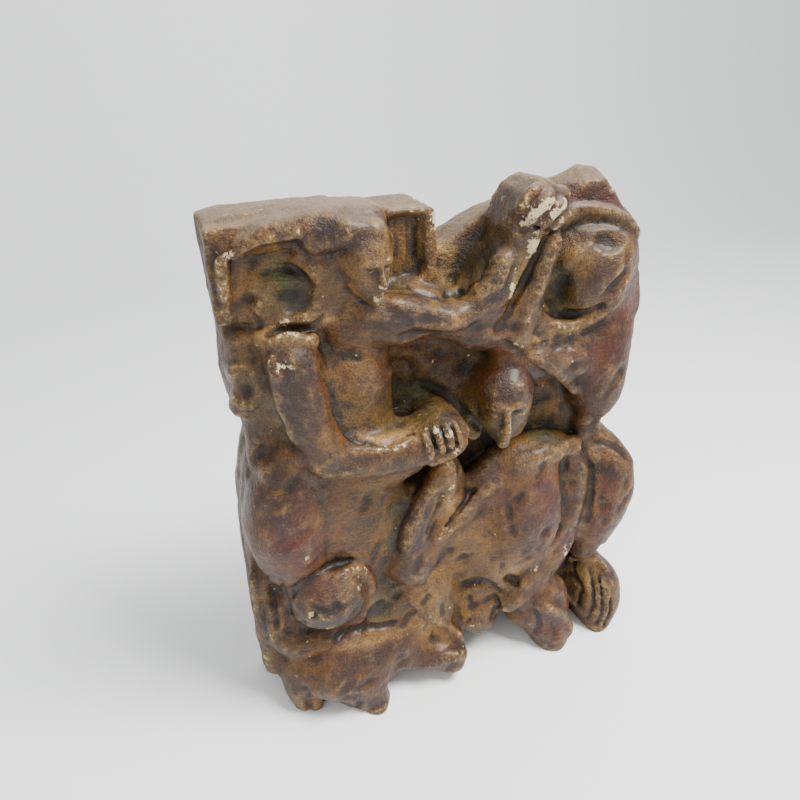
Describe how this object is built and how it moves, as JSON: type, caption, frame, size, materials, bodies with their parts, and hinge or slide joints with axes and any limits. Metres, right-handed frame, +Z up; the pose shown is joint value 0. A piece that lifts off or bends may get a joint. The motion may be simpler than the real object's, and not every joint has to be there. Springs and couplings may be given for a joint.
{
  "type": "clay tree of life sculpture",
  "caption": "Free-standing clay relief block of intertwined seated and embracing figures, hand-built on a hollow slab core, with a bronze-like painted and waxed patina.",
  "frame": {"origin": "centre of the block's footprint, on the plane it stands on", "axes": "+X to the viewer's right, -Y out of the front relief, +Z up"},
  "size_m": [0.2902, 0.0808, 0.357],
  "materials": {
    "waxed_brown_clay": "waxed satin, brushed bronze patina",
    "rubbed_umber_clay": "waxed satin, rubbed dark patina",
    "russet_clay": "waxed satin, red brown patina",
    "ochre_clay": "dry-brushed satin patina",
    "verdigris_clay": "matte grey green patina",
    "bare_clay": "raw matte fired clay"
  },
  "bodies": {
    "root": {"back_wall": "waxed_brown_clay", "front_wall": "verdigris_clay", "left_strip": "waxed_brown_clay", "right_strip": "waxed_brown_clay", "top_strip": "ochre_clay", "base_strip": "bare_clay", "upper_rib": "bare_clay", "lower_rib": "bare_clay", "headdress_block": "ochre_clay", "hair_band": "rubbed_umber_clay", "left_head": "waxed_brown_clay", "hair_roll": "rubbed_umber_clay", "left_neck": "waxed_brown_clay", "left_upper_arm": "rubbed_umber_clay", "left_forearm": "waxed_brown_clay", "left_fist": "waxed_brown_clay", "left_chest": "waxed_brown_clay", "far_upper_arm": "rubbed_umber_clay", "far_forearm": "rubbed_umber_clay", "flank_strip": "ochre_clay", "flank_curl": "rubbed_umber_clay", "lower_flank": "ochre_clay", "left_hip": "rubbed_umber_clay", "left_belly": "ochre_clay", "right_forearm": "rubbed_umber_clay", "clasped_hands": "waxed_brown_clay", "right_shoulder": "waxed_brown_clay", "right_hood": "russet_clay", "right_head": "waxed_brown_clay", "right_collar": "russet_clay", "right_torso": "waxed_brown_clay", "right_hip": "russet_clay", "centre_head": "rubbed_umber_clay", "centre_hood": "ochre_clay", "centre_torso": "russet_clay", "centre_right_arm": "rubbed_umber_clay", "centre_right_forearm": "waxed_brown_clay", "centre_left_arm": "rubbed_umber_clay", "centre_left_forearm": "waxed_brown_clay", "right_leg": "russet_clay", "corner_foot": "ochre_clay", "centre_lap": "ochre_clay", "crouching_head": "rubbed_umber_clay", "crouching_back": "ochre_clay", "crouching_arm": "waxed_brown_clay", "shin_ridge": "ochre_clay", "left_heel": "waxed_brown_clay", "left_foot": "waxed_brown_clay", "knee": "waxed_brown_clay"}
  },
  "joints": []
}
